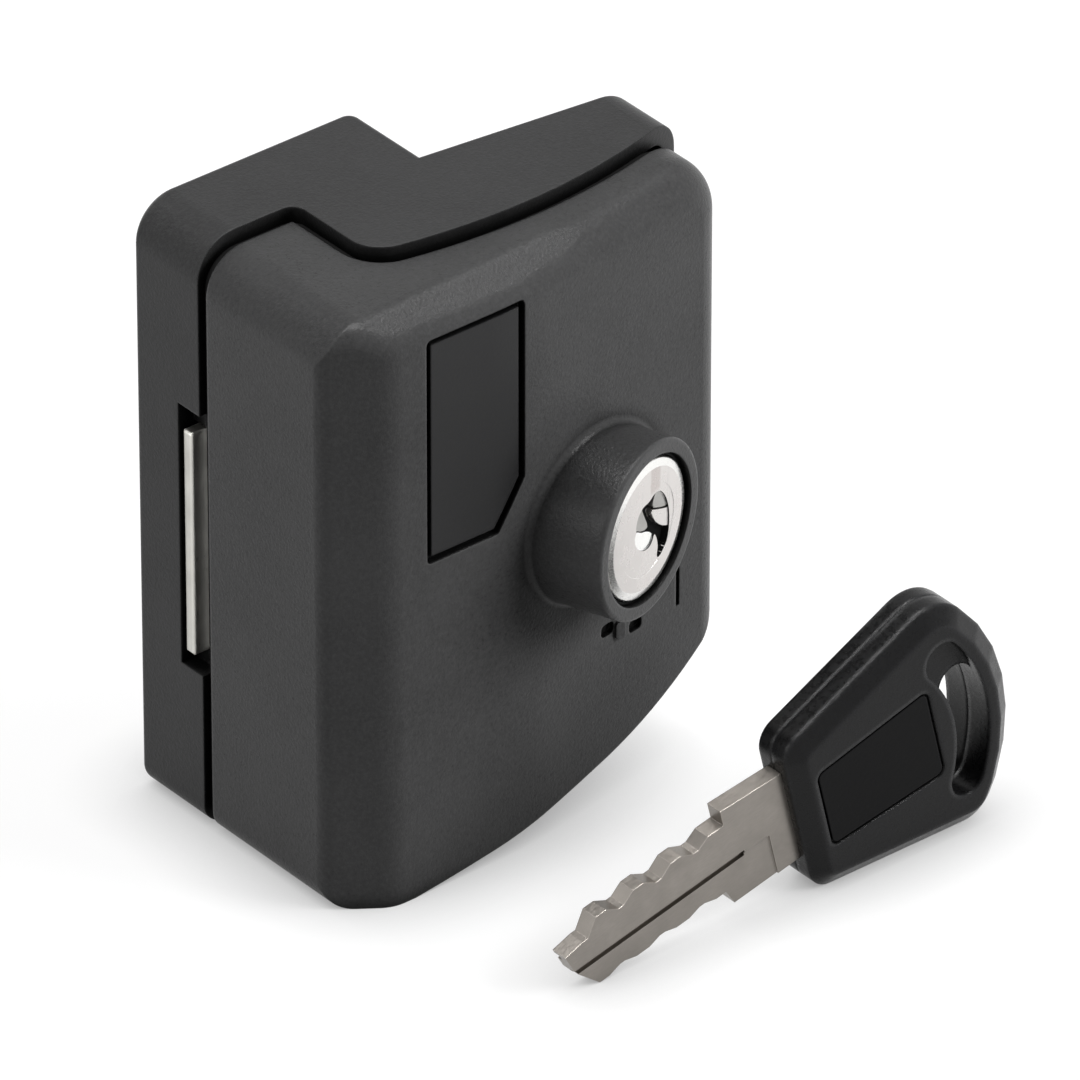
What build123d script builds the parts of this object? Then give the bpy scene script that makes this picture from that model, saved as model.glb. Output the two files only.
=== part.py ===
from build123d import *
import math
import os

os.makedirs("parts", exist_ok=True)

# Millimetres. X runs right, Y runs back from the front, Z runs up from the ground that the foot is on.
# The drawing is laid out from the case's left side (X = 0) and rear face (Y = 0), so the case lies at Y
# below 0, and a "depth" is a forward distance from that rear face. Each piece is written after a shift
# that puts the origin on the foot's flat.
foot_x = 7.5
foot_depth = 6.0

# Case, seen from the front
case_width = 61.4
case_height = 80.9
wall = 2.4
top_left_radius = 5.5
foot_left_radius = 3.0
top_right_radius = 4.5
cover_corner_radius = 7.5
sweep_start = 10.0
sweep_angle = 6.5
sweep_middle_x = 40.5
sweep_middle_z = 5.5
sweep_rise = 16.7
sweep_corner_radius = 9.0
rear_edge_radius = 0.8
block_corner_radius = 1.6

# Front face, seen from above: flat, then a gentle bend, then flat and turned back
front_depth = 39.5
front_flat = 22.0
front_bend_radius = 55.0
front_yaw = 9.3
side_bevel_width = 6.7
side_bevel_depth = 4.8
side_edge_radius = 2.5
right_edge_radius = 5.0
right_edge_lead = 0.02
bevel_edge_radius = 5.0
top_bevel_back = 4.1
top_bevel_drop = 2.5
top_bevel_yaw = 2.6
top_edge_radius = 3.0
crease_radius = 3.0

# Rear case, seen from above: a deep block at the left and a thin wing at the right
block_width = 32.4
wing_step = 13.4
wing_taper = 6.7
rear_left_depth = 12.1
hood_left = 14.4
hood_peak = 35.0
hood_front = 28.7
hood_radius = 81.5
hood_corner_radius = 4.5
hood_step = 1.1

# Seam between the two shells, with the black ring in it
seam_gap = 1.6
gasket_inset = 1.1
gasket_width = 1.9

# Lock cylinder, whose axis is level and turned to the right of straight ahead
lock_x = 38.4
lock_height = 41.3
lock_turn = 19.7
boss_length = 7.7
boss_radius = 11.3
boss_root_radius = 0.8
rim_radius = 9.5
rim_edge = 0.4
lip_length = 1.8
tube_radius = 12.0
tube_length = 17.0
cylinder_radius = 10.1
cylinder_length = 19.0
close_fit = 0.05
running_fit = 0.08
clip_thickness = 1.0
clip_groove = 0.85
clip_mouth = 15.7
clip_mouth_drop = 2.0
dowel_radius = 1.0
dowel_length = 8.0
ring_length = 0.9

# Plug, keyway and wafers
face_recess = 0.3
face_thickness = 1.2
face_radius = 8.9
face_edge = 0.35
eye_radius = 5.2
eye_depth = 0.35
head_seat = 1.4
plug_radius = 7.0
keyway_depth = 19.4
keyway_x = 1.0
key_play = 0.15
wafer_count = 5
wafer_first = 8.0
wafer_pitch = 2.5
wafer_thickness = 1.0
wafer_width = 6.0
wafer_play = 0.03
wafer_window_play = 0.3
chamber_play = 1.2
spring_radius = 0.6
spring_length = 3.2
spring_play = 0.05

# Shutter behind the keyway
shutter_pin_radius = 0.4
shutter_pin_x = 2.3
shutter_pin_end = 1.1
shutter_thickness = 0.5
shutter_knuckle = 0.7
shutter_play = 0.1
shutter_room = 0.6

# Crank on the back of the plug
tail_square = 5.0
crank_thickness = 2.0
crank_radius = 7.6
drive_pin_radius = 1.5
drive_start = 45.0
drive_pin_gap = 0.55
tail_play = 0.1
screw_shank = 1.5
crank_screw_head = 2.8
crank_screw_head_length = 1.0
crank_screw_bite = 1.8
crank_screw_cross = 2.6

# Bolt and its carrier
bolt_recess = 0.2
bolt_length = 26.8
bolt_height = 30.7
bolt_z = 38.55
bolt_travel = 8.0
bolt_depth = 8.75
bolt_thickness = 1.5
bolt_end_edge = 0.15
bolt_play = 0.15
notch_margin_top = 3.45
notch_margin_low = 2.0
notch_margin_back = 0.7
carrier_foot_width = 6.0
carrier_foot_height = 24.0
carrier_thickness = 2.0
carrier_web = 4.0
arm_gap = 0.3
arm_margin = 2.1
drive_play = 0.3
rivet_radius = 1.5
rivet_head = 2.3
rivet_head_length = 0.8
rivet_edge = 3.0
bed_rib = 2.0
bed_spacing = 18.0

# Keeper over the bolt
keeper_width = 9.4
keeper_thickness = 1.4
rail_height = 5.6
keeper_screw_radius = 1.1
keeper_screw_head = 2.0
keeper_screw_head_length = 1.3
keeper_screw_length = 6.0
keeper_wall_gap = 0.2
drive_width = 0.6
drive_depth = 0.6

# Case screws, driven from the rear
case_screw_side = 7.6
case_screw_right = 7.2
case_screw_top = 10.3
case_screw_foot = 9.0
case_screw_foot_right = 18.5
post_radius = 3.1
screw_clearance = 0.15
screw_head = 2.7
screw_head_length = 1.9
counterbore_depth = 2.2
screw_bite = 6.5
screw_cross = 3.2
screw_cross_width = 0.7
screw_cross_depth = 1.0
wing_joint = 22.0

# Threaded inserts for fixing the lock by its rear face
insert_x = 20.0
insert_middle = 39.1
insert_spacing = 50.0
insert_radius = 3.5
insert_length = 8.0
insert_thread = 2.5
insert_boss = 5.2

# Name panel on the front, left bare
panel_left = 11.9
panel_right = 26.7
panel_top = 76.1
panel_foot = 45.6
panel_cut_x = 4.2
panel_cut_z = 6.3
panel_corner = 0.7
panel_pocket = 1.3
panel_groove = 0.85
panel_sink = 0.25
panel_pad = 1.5

# Two small recesses, a nub between them and a slit, moulded below the boss
mark_width = 2.2
mark_height = 1.7
mark_corner = 0.6
mark_sink = 0.9
mark_left_x = 40.9
mark_left_z = 23.6
mark_right_x = 45.8
mark_right_z = 21.9
nub_x = 42.9
nub_z = 22.8
nub_width = 1.5
nub_height = 2.3
nub_corner = 0.4
nub_rise = 0.5
slit_x = 53.3
slit_width = 0.6
slit_low = 20.9
slit_high = 26.3
slit_sink = 1.2

# Key, standing on its edge in front of the case
key_x = 44.2
key_depth = 65.8
key_tilt = 13.5
blade_length = 34.4
blade_cut_length = 25.1
blade_width = 9.6
blade_thickness = 2.4
blade_offset = 0.5
blade_nose_rise = 2.1
blade_nose_slope = 0.9
blade_nose_run = 3.9
blade_groove = 1.0
blade_groove_sink = 0.9
blade_groove_offset = 1.05
blade_groove_run = 2.0
blade_step = 0.25
blade_step_end = 3.5
blade_heel = 2.3
blade_heel_length = 10.9
blade_heel_slope = 0.8
shoulder_rise = 2.2
shoulder_fall = 0.7
cut_first = 4.5
cut_pitch = 5.8
cut_depths = [0.95, 1.15, 1.1, 2.2]
cut_flat = 0.8
cut_run = 1.7
low_cut_count = 3
low_cut_first = 5.2
low_cut_pitch = 6.2
low_cut_depth = 0.55
head_length = 32.3
head_root = 10.9
head_shoulder = 25.3
head_taper = 14.0
head_low_root = 11.3
head_low_taper = 13.5
head_thickness = 8.0
head_side = 2.3
head_root_radius = 3.2
head_end_radius = 6.0
head_low_radius = 4.5
head_facets = 8
head_bevel = 2.2
slot_width = 5.2
slot_reach = 25.9
slot_radius = 19.0
slot_low_angle = 29.0
slot_high_angle = 29.0
slot_through_angle = 10.0
slot_floor = 2.4
tang_length = 18.0
tang_play = 0.1
key_pin_radius = 1.25
key_pin_grip = 1.4
key_pin_margin = 6.0
key_pin_spacing = 8.4
key_panel_start = 2.9
key_panel_length = 17.7
key_panel_height = 11.5
key_panel_widen = 1.8
key_panel_offset = 0.2
key_panel_corner = 1.2
key_panel_sink = 0.7
key_panel_set_back = 0.1
key_panel_groove = 0.35

# Values worked out from the sizes above
cover_height = case_height - hood_step
turn = math.radians(lock_turn)
yaw = math.radians(front_yaw)
bend_end = front_flat + front_bend_radius * math.sin(yaw)
bend_depth = front_depth - front_bend_radius * (1 - math.cos(yaw))
right_depth = bend_depth - (case_width - bend_end) * math.tan(yaw)
cylinder_end = lip_length + cylinder_length
plug_end = cylinder_end + tail_play
crank_end = plug_end + crank_thickness
bolt_front = bolt_depth + bolt_thickness
foot_left = bolt_recess + bolt_length - carrier_foot_width
drive_throw = bolt_travel * math.cos(turn) / (2 * math.cos(math.radians(drive_start)))


def front_at(x):
    """The depth of the front face at a distance from the left side."""
    if x <= front_flat:
        return front_depth
    if x >= bend_end:
        return bend_depth - (x - bend_end) * math.tan(yaw)
    rise = math.sqrt(front_bend_radius**2 - (x - front_flat) ** 2)
    return front_depth - front_bend_radius + rise


def wing_at(x):
    """The depth of the wing's rear face at a distance from the left side."""
    return wing_step + (x - block_width) * math.tan(math.radians(wing_taper))


def hood_at(x):
    """The depth of the rear case's curved front edge at a distance from the left side."""
    return hood_front - hood_radius + math.sqrt(hood_radius**2 - (x - hood_peak) ** 2)


boss_depth = front_at(lock_x)
rim_x = lock_x + boss_length * math.sin(turn)
rim_depth = boss_depth + boss_length * math.cos(turn)
crank_back = rim_depth - crank_end * math.cos(turn) - crank_radius * math.sin(turn)
arm_depth = crank_back - arm_gap - carrier_thickness
LOCK = Plane(
    origin=(rim_x, -rim_depth, lock_height),
    x_dir=(math.cos(turn), math.sin(turn), 0),
    z_dir=(math.sin(turn), -math.cos(turn), 0),
)


def near(sketch, x, y):
    """The sketch's corner nearest to a point."""
    return sketch.vertices().sort_by_distance((x, y, 0))[0]


def forward(sketch, start, end):
    """Push a front-view sketch from one depth of the case to another."""
    return extrude(Plane.XZ.offset(start) * sketch, end - start, dir=(0, -1, 0))


def upright(sketch, low, high):
    """Push a plan sketch, drawn with depth upwards, from one height to another."""
    plan = Plane(origin=(0, 0, low), x_dir=(1, 0, 0), z_dir=(0, 0, -1))
    return extrude(plan * sketch, high - low, dir=(0, 0, 1))


def block(left, right, start, end, low, high):
    """A plain block between two sides, two depths and two heights."""
    middle = Pos((left + right) / 2, (low + high) / 2)
    return forward(middle * Rectangle(right - left, high - low), start, end)


def bar(radius, x, z, start, end):
    """A round bar that runs straight forward between two depths."""
    return forward(Pos(x, z) * Circle(radius), start, end)


def rod(radius, start, end, x=0.0, y=0.0):
    """A round bar along the lock's axis between two distances behind the rim."""
    return extrude(Plane.XY.offset(-end) * Pos(x, y) * Circle(radius), end - start)


def slab(width, height, start, end, x=0.0, y=0.0):
    """A square-edged bar along the lock's axis between two distances behind the rim."""
    return extrude(Plane.XY.offset(-end) * Pos(x, y) * Rectangle(width, height), end - start)


def case_outline(corner_radius=top_right_radius):
    foot = Line((0, 0), (sweep_start, 0))
    slope = math.radians(sweep_angle)
    middle = (sweep_middle_x, sweep_middle_z)
    right_side = (case_width, sweep_rise)
    gentle = TangentArc((sweep_start, 0), middle, tangent=(math.cos(slope), math.sin(slope)))
    steep = TangentArc(middle, right_side, tangent=gentle % 1)
    sides = Polyline(right_side, (case_width, case_height), (0, case_height), (0, 0))
    face = make_face(foot + gentle + steep + sides)
    face = fillet(near(face, 0, 0), foot_left_radius)
    face = fillet(near(face, case_width, sweep_rise), sweep_corner_radius)
    face = fillet(near(face, case_width, case_height), corner_radius)
    return fillet(near(face, 0, case_height), top_left_radius)


def cover_outline():
    return case_outline() & Pos(0, -hood_step) * case_outline(cover_corner_radius)


def inset(sketch, distance):
    return offset(sketch, -distance, kind=Kind.INTERSECTION) if distance else sketch


def front_plan(shell=0.0):
    bevel_start = (0, front_depth - side_bevel_depth)
    bevel_end = (side_bevel_width, front_depth)
    left = Polyline((0, 0), bevel_start, bevel_end, (front_flat, front_depth))
    bend = TangentArc((front_flat, front_depth), (bend_end, bend_depth), tangent=(1, 0))
    right = Polyline((bend_end, bend_depth), (case_width, right_depth), (case_width, 0), (0, 0))
    plan = make_face(left + bend + right)
    plan = fillet(near(plan, *bevel_start), side_edge_radius)
    plan = fillet(near(plan, *bevel_end), bevel_edge_radius)
    return inset(plan, shell)


def right_edge_block(shell=0.0):
    """Everything inside the soft edge round the front's right side and its top right corner."""
    right = case_width - shell
    top = cover_height - shell
    depth = right_depth + right_edge_lead - shell / math.cos(yaw) + shell * math.tan(yaw)
    far_left = -case_width
    far_depth = depth + (right - far_left) * math.tan(yaw)
    corners = [(far_left, -case_width), (right, -case_width), (right, depth), (far_left, far_depth)]
    body = upright(make_face(Polyline(*corners, corners[0])), -case_height, top)
    ridge = body.edges().group_by(Axis.Z)[-1].group_by(Axis.X)[-1]
    body = fillet(ridge, cover_corner_radius - shell)
    [face] = [item for item in body.faces() if abs(item.normal_at().Y + math.cos(yaw)) < 0.001]
    chain = [edge for edge in face.edges() if edge.center().Z > -case_height + 1]
    chain = [edge for edge in chain if edge.center().X > far_left + 1]
    return fillet(chain, right_edge_radius - shell)


def top_bevel_block(shell=0.0):
    """Everything below the sloping band along the top of the front."""
    edge = front_depth - top_bevel_back
    runs = 3
    end = (edge + runs * top_bevel_back, cover_height - runs * top_bevel_drop)
    corners = [(-wall, -wall), (end[0], -wall), end, (edge, cover_height), (-wall, cover_height)]
    profile = make_face(Polyline(*corners, corners[0]))
    profile = inset(fillet(near(profile, edge, cover_height), top_edge_radius), shell)
    side = Plane(origin=(-case_width, 0, 0), x_dir=(0, -1, 0), z_dir=(-1, 0, 0))
    whole = extrude(side * profile, 3 * case_width, dir=(1, 0, 0))
    return whole.rotate(Axis((side_bevel_width, -edge, 0), (0, 0, 1)), top_bevel_yaw)


def cover_envelope(shell=0.0):
    """The solid outer form of the front cover, or the same form drawn in by a wall."""
    outline = inset(cover_outline(), shell)
    body = upright(front_plan(shell), -case_height, 2 * case_height) & top_bevel_block(shell)
    if shell == 0:
        body = soften(body)
    return body & forward(outline, 0, front_depth + 1) & right_edge_block(shell)


def soften(body):
    """Round the crease under the top bevel."""
    crease_low = cover_height - 2 * top_bevel_drop
    crease_back = front_depth - side_bevel_depth - side_edge_radius
    crease = []
    for edge in body.edges():
        middle = edge.center()
        level = abs(edge.tangent_at(0.5).Z) < 0.5
        high = crease_low < middle.Z < cover_height - top_bevel_drop / 4
        if level and high and -middle.Y > crease_back + top_bevel_back / 4 and edge.length > 2:
            crease.append(edge)
    return fillet(crease, crease_radius)


def seam_plan():
    """All that lies behind the seam, seen from above."""
    spare = 5.0
    hood_end = (case_width + spare, hood_at(case_width + spare))
    hood_start = (hood_left, hood_at(hood_left))
    edge = ThreePointArc(hood_end, (hood_peak, hood_front), hood_start)
    left = (-spare, rear_left_depth)
    low = [(-spare, -spare), (case_width + spare, -spare)]
    rest = Polyline(hood_start, (hood_left, rear_left_depth), left, *low, hood_end)
    face = make_face(edge + rest)
    face = fillet(near(face, hood_left, rear_left_depth), seam_gap + 0.3)
    return fillet(near(face, *hood_start), hood_corner_radius)


def behind_wing(shell=0.0):
    """The case seen from above, with its deep block and its thin wing, open to the front."""
    spare = 5.0 if shell else 0.0
    right = case_width + spare
    slant = shell / math.cos(math.radians(wing_taper))
    step_x = block_width - shell
    step_depth = wing_at(step_x) + slant
    corners = [(-spare, shell), (step_x, shell), (step_x, step_depth), (right, wing_at(right) + slant)]
    corners += [(right, front_depth), (-spare, front_depth)]
    face = make_face(Polyline(*corners, corners[0]))
    return face if shell else fillet(near(face, step_x, shell), block_corner_radius)


def screw_spots():
    """The four case screws: place, depth of the seat face and depth where the shells meet."""
    left, right = case_screw_side, case_width - case_screw_right
    top = case_height - case_screw_top
    spots = [(left, top, 0.0, rear_left_depth), (left, case_screw_foot, 0.0, rear_left_depth)]
    for z in (top, case_screw_foot_right):
        spots.append((right, z, wing_at(right), wing_joint))
    return spots


def insert_heights():
    return [insert_middle - insert_spacing / 2, insert_middle + insert_spacing / 2]


def rail_heights():
    reach = bolt_height / 2 + bolt_play + rail_height / 2
    return [bolt_z - reach, bolt_z + reach]


def rear_case():
    outer = forward(case_outline(), 0, front_depth) & upright(behind_wing(), 0, case_height)
    back_edges = outer.edges().filter_by_position(Axis.Y, -0.01, 0.01)
    outer = fillet(back_edges, rear_edge_radius)
    inner_outline = inset(case_outline(), wall)
    hollow = forward(inner_outline, 0, front_depth) & upright(behind_wing(wall), 0, case_height)
    behind_seam = upright(seam_plan(), -1, case_height + 1)
    shell = (outer - hollow) & behind_seam
    inside = forward(inner_outline, 0, front_depth) & upright(behind_wing(wall / 2), 0, case_height)
    for x, z, back, joint in screw_spots():
        shell += bar(post_radius, x, z, back + wall / 2, joint) & inside
    for z in insert_heights():
        shell += bar(insert_boss, insert_x, z, wall / 2, insert_length + wall / 2)
    keeper_back = bolt_front + bolt_play
    for z in rail_heights():
        low, high = z - rail_height / 2, z + rail_height / 2
        shell += block(wall / 2, wall + keeper_width, wall / 2, keeper_back, low, high)
    bed_right = foot_left + carrier_foot_width
    for z in (bolt_z - bed_spacing / 2, bolt_z + bed_spacing / 2):
        low, high = z - bed_rib / 2, z + bed_rib / 2
        shell += block(wall / 2, bed_right, wall / 2, bolt_depth - bolt_play, low, high)
    low = bolt_z - bolt_height / 2 - notch_margin_low
    high = bolt_z + bolt_height / 2 + notch_margin_top
    bolt_low, bolt_high = bolt_z - bolt_height / 2 - bolt_play, bolt_z + bolt_height / 2 + bolt_play
    notch_back = bolt_depth - notch_margin_back
    shell -= block(-1, wall, notch_back, front_depth, low, high)
    shell -= block(-1, bed_right, bolt_depth - bolt_play, keeper_back, bolt_low, bolt_high)
    for x, z, back, joint in screw_spots():
        shell -= bar(screw_shank + screw_clearance, x, z, back - 1, joint + 1)
        shell -= bar(screw_head + screw_clearance, x, z, back - 1, back + counterbore_depth)
    for z in insert_heights():
        shell -= bar(insert_radius, insert_x, z, -1, insert_length)
    for z in rail_heights():
        hole_start = keeper_back + keeper_thickness - keeper_screw_length
        x = wall + keeper_width / 2
        shell -= bar(keeper_screw_radius, x, z, hole_start, front_depth)
    return shell


def gasket():
    outside = inset(cover_outline(), gasket_inset)
    ring = outside - inset(cover_outline(), gasket_inset + gasket_width)
    band = offset(seam_plan(), seam_gap, kind=Kind.ARC) - seam_plan()
    return forward(ring, 0, front_depth) & upright(band & front_plan(), 0, case_height)


def panel_outline(shell=0.0):
    corners = [(panel_left, panel_foot), (panel_right - panel_cut_x, panel_foot)]
    corners += [(panel_right, panel_foot + panel_cut_z), (panel_right, panel_top)]
    corners += [(panel_left, panel_top)]
    face = make_face(Polyline(*corners, corners[0]))
    return inset(fillet(face.vertices(), panel_corner), shell)


def panel_pocket_form():
    """The shallow pocket that follows the front face."""
    behind = upright(inset(front_plan(), panel_pocket), 0, case_height)
    return forward(panel_outline(), front_depth / 2, front_depth + 1) - behind


def badge_panel():
    plate = forward(panel_outline(panel_groove), front_depth / 2, front_depth + 1)
    plate &= upright(inset(front_plan(), panel_sink), 0, case_height)
    return plate - upright(inset(front_plan(), panel_pocket), 0, case_height)


def front_cover():
    before_seam = upright(
        front_plan() - offset(seam_plan(), seam_gap, kind=Kind.ARC), -1, case_height + 1
    )
    outer = cover_envelope()
    hollow = cover_envelope(wall)
    pad = forward(panel_outline(-panel_pad), front_depth / 2, front_depth)
    pad -= upright(inset(front_plan(), wall + panel_pad), 0, case_height)
    shell = (outer - hollow) & before_seam
    shell += pad & cover_envelope(wall / 2)
    inside = cover_envelope(wall / 2)
    for x, z, back, joint in screw_spots():
        shell += bar(post_radius, x, z, joint, front_depth) & inside
    shell += LOCK * rod(tube_radius, 0, tube_length) & inside
    shell += LOCK * rod(boss_radius, 0, tube_length - 1)
    shell = fillet(boss_edges(shell, -front_depth / 2, -1), boss_root_radius)
    shell = fillet(boss_edges(shell, -rim_edge, rim_edge), rim_edge)
    shell -= panel_pocket_form()
    shell -= LOCK * rod(cylinder_radius + close_fit, lip_length, front_depth)
    shell -= LOCK * rod(rim_radius, -1, lip_length)
    shell -= LOCK * dowel_form()
    for x, z, back, joint in screw_spots():
        shell -= bar(screw_shank, x, z, joint - 1, joint + screw_bite)
    for x, z in ((mark_left_x, mark_left_z), (mark_right_x, mark_right_z)):
        mark = Pos(x, z) * RectangleRounded(mark_width, mark_height, mark_corner)
        shell -= forward(mark, front_at(x) - mark_sink, front_depth + 1)
    left, right = slit_x - slit_width / 2, slit_x + slit_width / 2
    shell -= block(left, right, front_at(slit_x) - slit_sink, front_depth + 1, slit_low, slit_high)
    nub = Pos(nub_x, nub_z) * RectangleRounded(nub_width, nub_height, nub_corner)
    face = front_at(nub_x)
    return shell + forward(nub, face - wall / 2, face + nub_rise)


def boss_edges(body, low, high):
    """The edges of a body that lie on the boss between two heights along its axis."""
    found = []
    for edge in body.edges():
        spot = LOCK.to_local_coords(edge.position_at(0.5))
        on_boss = abs(math.hypot(spot.X, spot.Y) - boss_radius) < 0.01
        if on_boss and low < spot.Z < high and edge.geom_type != GeomType.LINE:
            found.append(edge)
    return found


def dowel_form():
    """The pin that lies half in the cylinder and half in the tube round it."""
    return rod(dowel_radius, tube_length - dowel_length, tube_length, 0, cylinder_radius)


def cylinder_body():
    body = rod(cylinder_radius, lip_length, cylinder_end)
    body -= rod(plug_radius + running_fit, 0, cylinder_end + 1)
    body -= rod(face_radius + close_fit + running_fit, 0, lip_length + head_seat)
    groove = rod(cylinder_radius + 1, tube_length, tube_length + clip_thickness)
    groove -= rod(cylinder_radius - clip_groove, tube_length, tube_length + clip_thickness)
    wafer_start = wafer_first - wafer_thickness
    wafer_stop = wafer_first + wafer_count * wafer_pitch
    chamber = slab(wafer_width, 2 * (plug_radius + chamber_play), wafer_start, wafer_stop)
    return body - groove - chamber - dowel_form()


def cylinder_clip():
    """An open ring that holds the cylinder against the end of the tube."""
    clip_end = tube_length + clip_thickness
    clip = rod(tube_radius, tube_length, clip_end)
    clip -= rod(cylinder_radius - clip_groove, tube_length, clip_end)
    below = -tube_radius / 2 - clip_mouth_drop
    return clip - slab(clip_mouth, tube_radius, tube_length, clip_end, 0, below)


def dust_ring():
    start = lip_length - ring_length
    return rod(rim_radius, start, lip_length) - rod(face_radius + running_fit, start, lip_length)


def blade_section(play=0.0):
    """The keyway's or the blade's section, with a groove in each side."""
    section = Rectangle(blade_thickness + 2 * play, blade_width + 2 * play)
    sink = blade_groove_sink - play
    side = (blade_thickness / 2 + play) - sink / 2
    for direction in (1, -1):
        spot = Pos(direction * side, -direction * blade_groove_offset)
        section -= spot * Rectangle(sink, blade_groove - 2 * play)
    return section


def keyway(start, end):
    section = Pos(keyway_x, 0) * blade_section(key_play)
    return extrude(Plane.XY.offset(-end) * section, end - start)


def wafer_depths():
    return [wafer_first + index * wafer_pitch for index in range(wafer_count)]


def spring_side():
    return wafer_width / 2 + spring_radius + key_play


def shutter_depth():
    """How far behind the rim the shutter's pin lies."""
    return face_recess + face_thickness + shutter_knuckle + shutter_play


def shutter_half():
    return blade_width / 2 + key_play


def plug():
    head_start = face_recess + face_thickness
    head_end = lip_length + head_seat - running_fit
    body = rod(face_radius, head_start, head_end) + rod(plug_radius, head_end, plug_end)
    tail_end = crank_end - crank_screw_head_length - tail_play
    body += Rot(0, 0, 45) * slab(tail_square, tail_square, plug_end, tail_end)
    body -= keyway(0, keyway_depth)
    pocket_left = keyway_x - blade_thickness / 2 - key_play
    pocket_right = keyway_x + shutter_pin_x + shutter_knuckle + key_play
    pocket_width = pocket_right - pocket_left
    pocket_x = (pocket_left + pocket_right) / 2
    pocket_height = 2 * shutter_half() + key_play
    pocket_end = shutter_depth() + shutter_pin_x + blade_thickness / 2 + shutter_room
    body -= slab(pocket_width, pocket_height, 0, pocket_end, pocket_x)
    body -= shutter_pin_form(0.0)
    for depth in wafer_depths():
        half = wafer_thickness / 2 + wafer_play
        body -= slab(wafer_width + 2 * running_fit, 2 * plug_radius + 1, depth - half, depth + half)
        well = Rot(90, 0, 0) * Cylinder(spring_radius + spring_play, spring_length)
        body -= Pos(spring_side(), 0, -depth) * well
    return body - rod(screw_shank, crank_end - crank_screw_head_length - crank_screw_bite, crank_end + 1)


def face_cap():
    disc = rod(face_radius, face_recess, face_recess + face_thickness)
    rim = disc.edges().filter_by(GeomType.CIRCLE).sort_by(Axis.Z)[-1]
    disc = chamfer(rim, face_edge)
    disc -= rod(eye_radius, 0, face_recess + eye_depth)
    return disc - keyway(0, face_recess + face_thickness + 1)


def wafer_set():
    wafers = []
    for depth in wafer_depths():
        half = wafer_thickness / 2
        plate = slab(wafer_width, 2 * plug_radius, depth - half, depth + half)
        plate &= rod(plug_radius - wafer_play, depth - half, depth + half)
        window = blade_width + 2 * key_play + wafer_window_play
        width = blade_thickness + 2 * key_play + wafer_window_play
        wafers.append(plate - slab(width, window, 0, cylinder_end, keyway_x))
    return wafers


def wafer_springs():
    springs = []
    for depth in wafer_depths():
        spring = Rot(90, 0, 0) * Cylinder(spring_radius, spring_length)
        springs.append(Pos(spring_side(), 0, -depth) * spring)
    return springs


def shutter_pin_form(spare=0.0):
    reach = 2 * (shutter_half() + shutter_pin_end)
    pin = Rot(90, 0, 0) * Cylinder(shutter_pin_radius + spare, reach)
    return Pos(keyway_x + shutter_pin_x, 0, -shutter_depth()) * pin


def shutter():
    """A thin flap on a knuckle, which closes the keyway behind the face."""
    height = 2 * shutter_half() - shutter_play
    pin_x = keyway_x + shutter_pin_x
    knuckle = Pos(pin_x, 0, -shutter_depth()) * Rot(90, 0, 0) * Cylinder(shutter_knuckle, height)
    free_edge = keyway_x - blade_thickness / 2
    start = shutter_depth() - shutter_thickness / 2
    middle = (pin_x + free_edge) / 2
    leaf = slab(pin_x - free_edge, height, start, start + shutter_thickness, middle)
    return leaf + knuckle - shutter_pin_form(close_fit)


def crank():
    disc = rod(crank_radius, plug_end, crank_end)
    disc -= Rot(0, 0, 45) * slab(tail_square, tail_square, plug_end - 1, crank_end + 1)
    disc -= rod(crank_screw_head + close_fit, crank_end - crank_screw_head_length, crank_end + 1)
    return disc - rod(drive_pin_radius, plug_end - 1, crank_end + 1, *drive_spot())


def drive_spot():
    """Where the drive pin stands on the crank at rest, to the right and up."""
    angle = math.radians(drive_start)
    return drive_throw * math.cos(angle), drive_throw * math.sin(angle)


def drive_pin_end():
    """The pin runs back to just short of the wing's wall."""
    x = drive_spot()[0]
    guess = wing_at(rim_x - boss_length * math.sin(turn)) + wall
    stop = guess + drive_pin_gap
    return (rim_depth - x * math.sin(turn) - stop) / math.cos(turn)


def drive_pin():
    return rod(drive_pin_radius, plug_end, drive_pin_end(), *drive_spot())


def crank_screw():
    head_start = crank_end - crank_screw_head_length
    screw = rod(crank_screw_head, head_start, crank_end)
    screw += rod(screw_shank, head_start - crank_screw_bite, head_start)
    slot_start = crank_end - crank_screw_head_length / 2
    for size in ((crank_screw_cross, drive_width), (drive_width, crank_screw_cross)):
        screw -= slab(*size, slot_start, crank_end + 1)
    return screw


def rivet_heights():
    """Two rivets in the carrier's foot, clear of its web."""
    low = bolt_z - carrier_foot_height / 2 + rivet_edge
    return [low, arm_slot()[2] - arm_margin - rivet_head - drive_play]


def bolt_plate():
    right = bolt_recess + bolt_length
    low, high = bolt_z - bolt_height / 2, bolt_z + bolt_height / 2
    plate = block(bolt_recess, right, bolt_depth, bolt_front, low, high)
    plate = chamfer(plate.faces().sort_by(Axis.X)[0].edges(), bolt_end_edge)
    for z in rivet_heights():
        plate -= bar(rivet_radius, right - carrier_foot_width / 2, z, 0, front_depth)
    return plate


def arm_slot():
    """The drive pin's place where it crosses the carrier's arm, and the slot's size."""
    x, z = drive_spot()
    middle = arm_depth + carrier_thickness / 2
    along = (rim_depth - x * math.sin(turn) - middle) / math.cos(turn)
    slot_x = rim_x + x * math.cos(turn) - along * math.sin(turn)
    width = 2 * drive_pin_radius / math.cos(turn) + carrier_thickness * math.tan(turn) + 2 * drive_play
    low = lock_height + z - drive_pin_radius - drive_play
    high = lock_height + drive_throw + drive_pin_radius + drive_play
    return slot_x, width, low, high


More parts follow.
